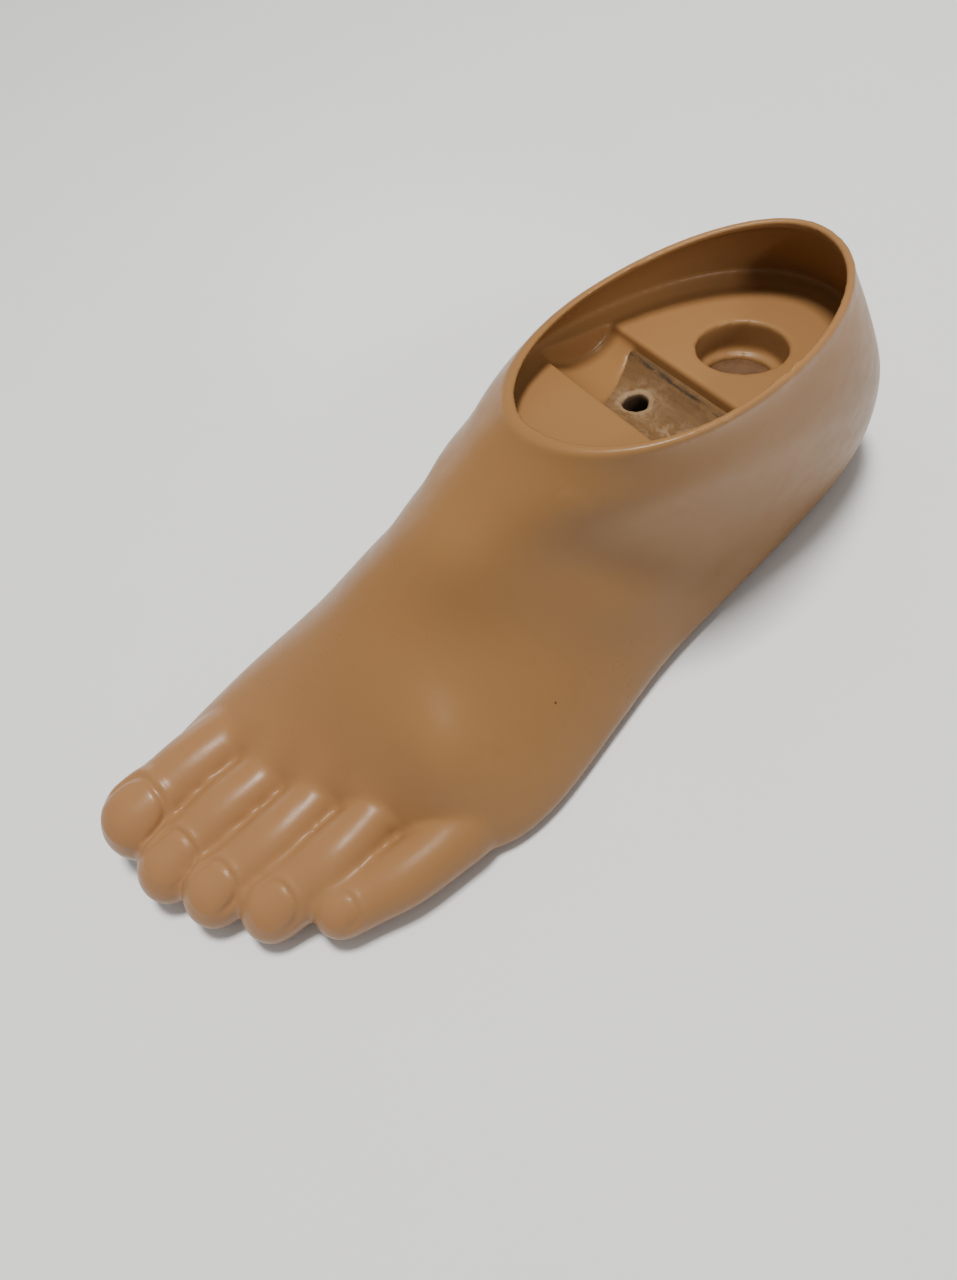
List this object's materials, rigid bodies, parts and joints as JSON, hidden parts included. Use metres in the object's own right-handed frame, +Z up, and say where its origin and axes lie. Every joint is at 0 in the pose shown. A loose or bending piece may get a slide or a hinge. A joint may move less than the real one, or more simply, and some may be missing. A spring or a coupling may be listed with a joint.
{
  "type": "prosthetic foot",
  "caption": "Left prosthetic foot blank: a tan polyurethane foot with moulded toes over a wooden keel, open at the ankle for a single-axis joint and heel bumper.",
  "frame": {"origin": "on the sole plane, under the middle of the foot's bounding box", "axes": "+X to the little-toe (lateral) side, -Y towards the toes, +Z up"},
  "size_m": [0.093, 0.2537, 0.079],
  "materials": {
    "polyurethane_tan": "semi-gloss integral-skin polyurethane foam, tan brown",
    "polyurethane_break": "the same moulding at the toe break, where it bends",
    "polyurethane_forefoot": "semi-gloss integral-skin polyurethane foam, slightly lighter over the toes",
    "worn_maple": "bare, scuffed and stained wood",
    "zinc_plated_steel": "dull zinc plate",
    "plug_rubber": "matt brown rubber",
    "seat_fibre": "compressed fibre, brown",
    "cotton_webbing": "woven belting"
  },
  "bodies": {
    "rearfoot": {"hindfoot_cover": "polyurethane_tan", "toe_break_foam": "polyurethane_break", "wood_keel": "worn_maple", "bolt_bush": "zinc_plated_steel", "washer_plate": "zinc_plated_steel", "bumper_seat_disc": "seat_fibre", "toe_belt_rear": "cotton_webbing", "belt_tack_1": "zinc_plated_steel", "belt_tack_2": "zinc_plated_steel", "belt_tack_3": "zinc_plated_steel", "belt_tack_4": "zinc_plated_steel"},
    "toes": {"forefoot_cover": "polyurethane_forefoot", "toe_belt_front": "cotton_webbing"},
    "plug": {"sole_plug": "plug_rubber"}
  },
  "joints": [
    {"name": "toe_bend", "type": "hinge", "parent": "rearfoot", "child": "toes", "pos_m": [0, -0.04264, 0.007], "axis": [-1, 0, 0], "range_deg": [-5, 20], "stiffness_Nm_per_rad": 15, "deforming": ["toe_break_foam"]},
    {"name": "plug_pull", "type": "slide", "parent": "rearfoot", "child": "plug", "axis": [0, 0, -1], "range_m": [0, 0.012]}
  ]
}
